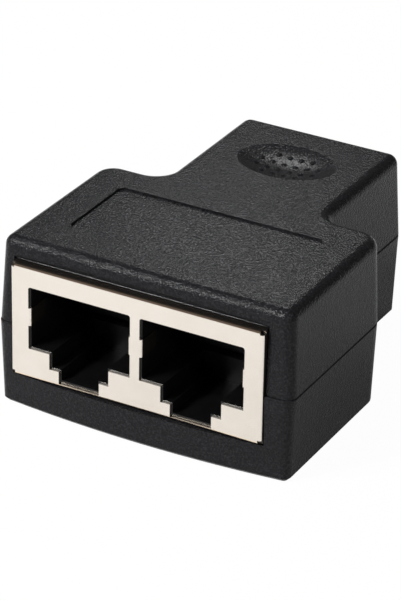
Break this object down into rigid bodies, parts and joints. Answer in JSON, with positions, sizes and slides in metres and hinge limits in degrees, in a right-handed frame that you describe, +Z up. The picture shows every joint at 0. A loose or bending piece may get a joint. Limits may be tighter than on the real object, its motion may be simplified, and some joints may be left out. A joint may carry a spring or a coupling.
{
  "type": "ethernet cable splitter",
  "caption": "T-shaped moulded network splitter with shielded modular ports in its wide and narrow ends, a parting line round its sides and a dished finger grip on top.",
  "frame": {"origin": "below the middle of the part, on the surface that it stands on", "axes": "+Z up from the flat underside; the wide end with two ports faces -Y and the single port faces +Y; +X to the right seen from the two ports"},
  "size_m": [0.0352, 0.042, 0.0196],
  "materials": {
    "housing": "spark-eroded grain",
    "shield": "nickel-plated sheet",
    "insert": "moulded",
    "carrier": "moulded",
    "contact": "gold-plated",
    "board": "solder mask"
  },
  "bodies": {
    "root": {"upper_housing": "housing", "lower_housing": "housing", "front_jack_shield": "shield", "front_jack_insert": "insert", "rear_jack_shield": "shield", "rear_jack_insert": "insert", "left_contact_carrier": "carrier", "left_port_contact_1": "contact", "left_port_contact_2": "contact", "left_port_contact_3": "contact", "left_port_contact_4": "contact", "left_port_contact_5": "contact", "left_port_contact_6": "contact", "left_port_contact_7": "contact", "left_port_contact_8": "contact", "right_contact_carrier": "carrier", "right_port_contact_1": "contact", "right_port_contact_2": "contact", "right_port_contact_3": "contact", "right_port_contact_4": "contact", "right_port_contact_5": "contact", "right_port_contact_6": "contact", "right_port_contact_7": "contact", "right_port_contact_8": "contact", "rear_contact_carrier": "carrier", "rear_port_contact_1": "contact", "rear_port_contact_2": "contact", "rear_port_contact_3": "contact", "rear_port_contact_4": "contact", "rear_port_contact_5": "contact", "rear_port_contact_6": "contact", "rear_port_contact_7": "contact", "rear_port_contact_8": "contact", "circuit_board": "board"}
  },
  "joints": []
}
